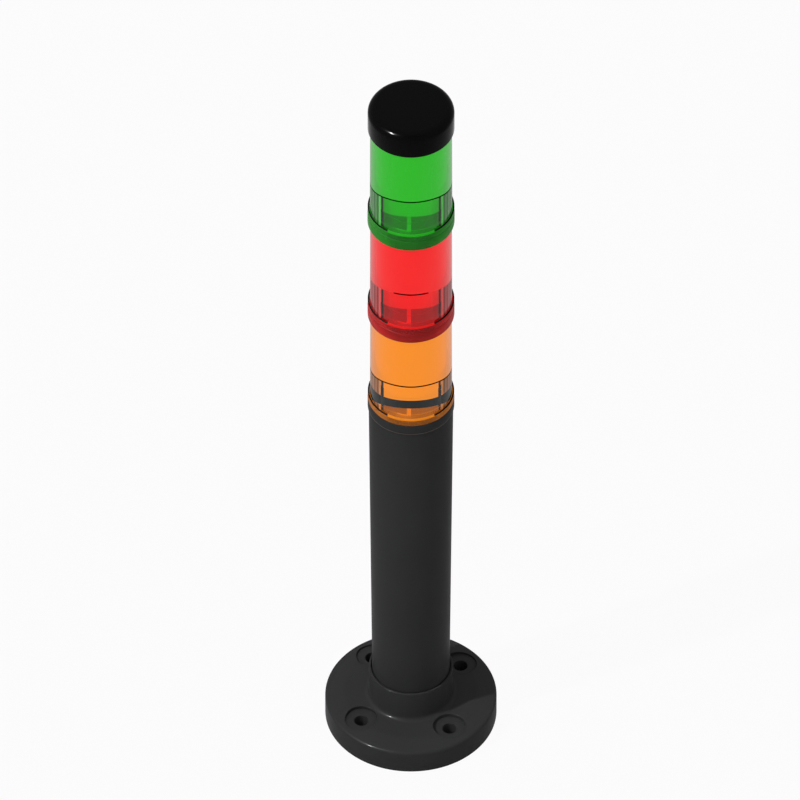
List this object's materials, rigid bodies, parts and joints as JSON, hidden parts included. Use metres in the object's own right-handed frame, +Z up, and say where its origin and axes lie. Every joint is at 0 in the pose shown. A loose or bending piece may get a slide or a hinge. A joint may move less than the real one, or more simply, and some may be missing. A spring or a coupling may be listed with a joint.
{
  "type": "stack light",
  "caption": "Signal tower with stacked coloured light tiers on a tapered pole and a round bolt-down flange.",
  "frame": {"origin": "middle of the flange's underside", "axes": "+Z up along the pole; -Y is the front, where the grips face"},
  "size_m": [0.08, 0.08, 0.3957],
  "materials": {
    "black_body": "satin black moulding",
    "cap_gloss": "glossy black",
    "black_rubber": "matt black rubber",
    "grey_plastic": "satin grey moulding",
    "white_plastic": "matt white moulding",
    "amber_lens": "clear amber moulding",
    "red_lens": "clear red moulding",
    "green_lens": "clear green moulding",
    "board": "white solder mask",
    "lamp": "pale resin",
    "contact_metal": "bright",
    "steel": "plated"
  },
  "bodies": {
    "base": {"mounting_flange": "black_body", "flange_gasket": "black_rubber", "pole": "black_body", "base_ring": "black_body", "terminal_carrier": "grey_plastic", "terminal_block": "grey_plastic", "terminal_screws": "steel", "base_contact_pins": "contact_metal", "base_seal": "black_rubber"},
    "amber_tier": {"amber_lens": "amber_lens", "amber_edge_strips": "black_rubber", "amber_diffuser": "white_plastic", "amber_board_holder": "white_plastic", "amber_contact_plate": "grey_plastic", "amber_contact_pads": "contact_metal", "amber_circuit_board": "board", "amber_leds": "lamp", "amber_contact_carrier": "grey_plastic", "amber_contact_pins": "contact_metal", "amber_seal": "black_rubber", "amber_skirt_band": "black_rubber"},
    "red_tier": {"red_lens": "red_lens", "red_edge_strips": "black_rubber", "red_diffuser": "white_plastic", "red_board_holder": "white_plastic", "red_contact_plate": "grey_plastic", "red_contact_pads": "contact_metal", "red_circuit_board": "board", "red_leds": "lamp", "red_contact_carrier": "grey_plastic", "red_contact_pins": "contact_metal", "red_seal": "black_rubber", "red_locking_ring": "red_lens"},
    "green_tier": {"green_lens": "green_lens", "green_edge_strips": "black_rubber", "green_diffuser": "white_plastic", "green_board_holder": "white_plastic", "green_contact_plate": "grey_plastic", "green_contact_pads": "contact_metal", "green_circuit_board": "board", "green_leds": "lamp", "green_contact_carrier": "grey_plastic", "green_contact_pins": "contact_metal", "green_seal": "black_rubber", "green_locking_ring": "green_lens"},
    "cap": {"cap": "cap_gloss"}
  },
  "joints": [
    {"name": "amber_twist", "type": "hinge", "parent": "base", "child": "amber_tier", "pos_m": [0, 0, 0.2022], "axis": [0, 0, 1], "range_deg": [0, 25]},
    {"name": "red_twist", "type": "hinge", "parent": "amber_tier", "child": "red_tier", "pos_m": [0, 0, 0.2622], "axis": [0, 0, 1], "range_deg": [0, 25]},
    {"name": "green_twist", "type": "hinge", "parent": "red_tier", "child": "green_tier", "pos_m": [0, 0, 0.3222], "axis": [0, 0, 1], "range_deg": [0, 25]},
    {"name": "cap_twist", "type": "hinge", "parent": "green_tier", "child": "cap", "pos_m": [0, 0, 0.3822], "axis": [0, 0, 1], "range_deg": [0, 25]}
  ]
}
